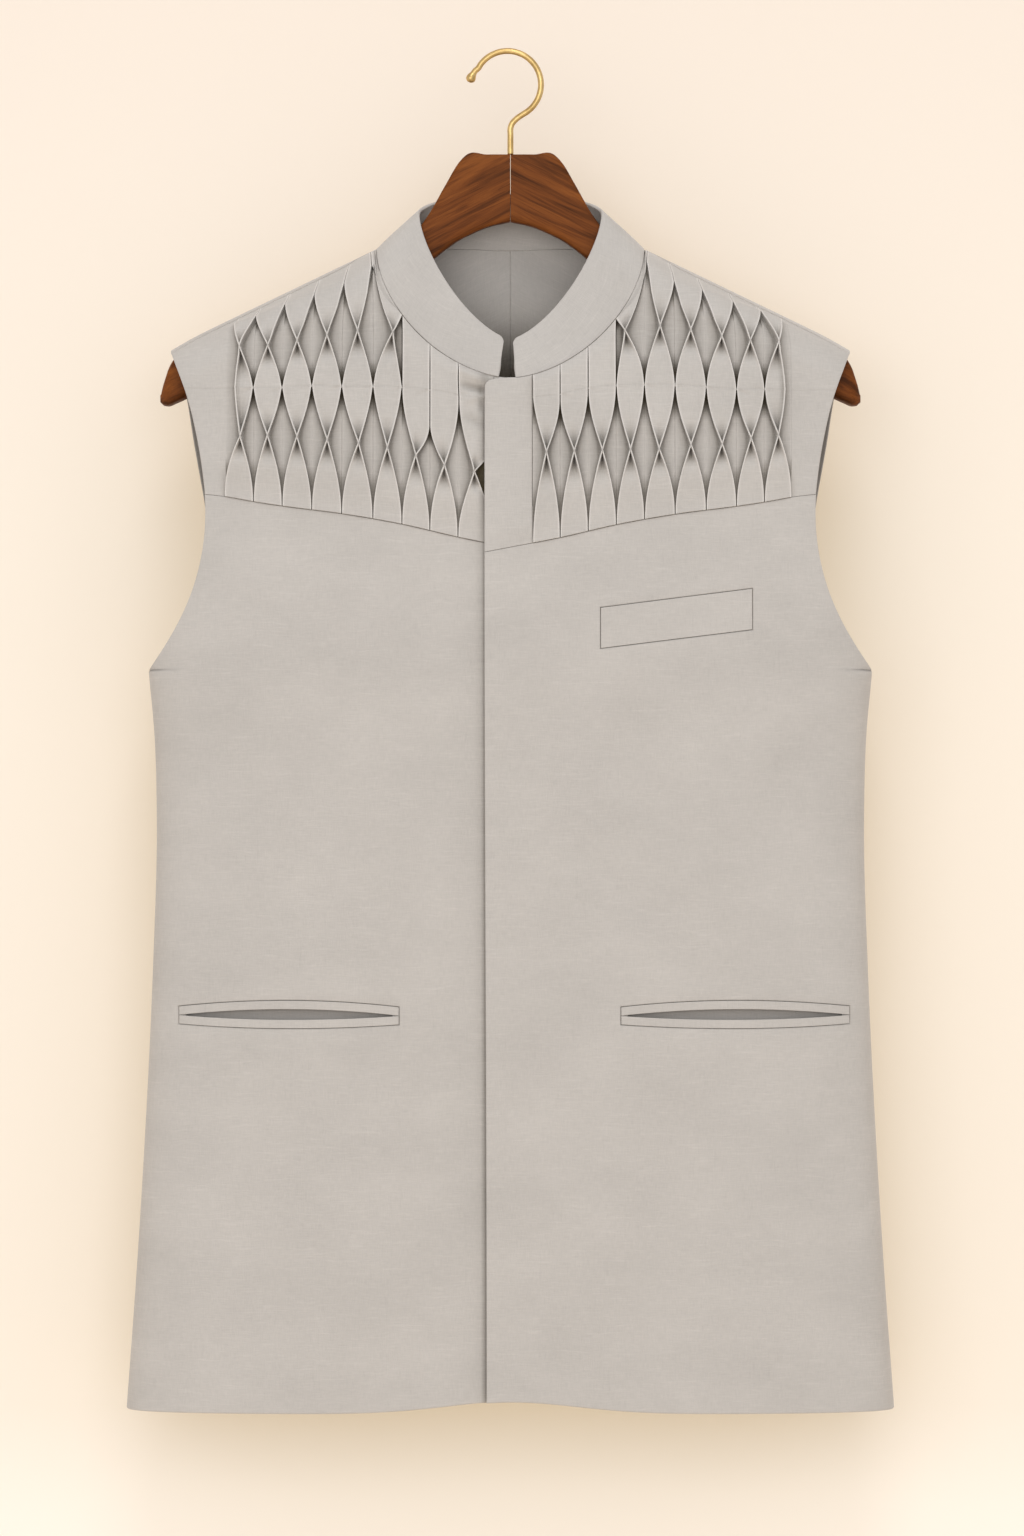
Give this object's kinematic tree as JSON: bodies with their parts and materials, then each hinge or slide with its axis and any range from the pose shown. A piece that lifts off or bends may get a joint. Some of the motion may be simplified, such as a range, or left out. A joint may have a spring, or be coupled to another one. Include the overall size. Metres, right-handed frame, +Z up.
{
  "type": "nehru jacket on hanger",
  "caption": "Sleeveless nehru jacket with band collar and diamond-smocked yoke, hanging on a wooden suit hanger with a wire hook.",
  "frame": {"origin": "under the crown of the hanger's hook, where a rail carries it", "axes": "+Z up, the jacket faces -Y, +X is the wearer's left"},
  "size_m": [0.4866, 0.1078, 0.8625],
  "materials": {
    "linen": "matte warm grey linen blend",
    "linen_inside": "matte warm grey linen blend, the inside of the pocket mouth",
    "walnut": "satin lacquered dark brown wood",
    "hook_brass": "brushed antique brass"
  },
  "bodies": {
    "root": {"front_left": "linen", "front_right": "linen", "yoke_left": "linen", "yoke_right": "linen", "button_strip": "linen", "back_left": "linen", "back_right": "linen", "collar": "linen", "chest_welt": "linen", "left_pocket_upper_lip": "linen", "left_pocket_lower_lip": "linen", "left_pocket_backing": "linen_inside", "right_pocket_upper_lip": "linen", "right_pocket_lower_lip": "linen", "right_pocket_backing": "linen_inside", "hanger_left": "walnut", "hanger_right": "walnut", "hook": "hook_brass"}
  },
  "joints": []
}
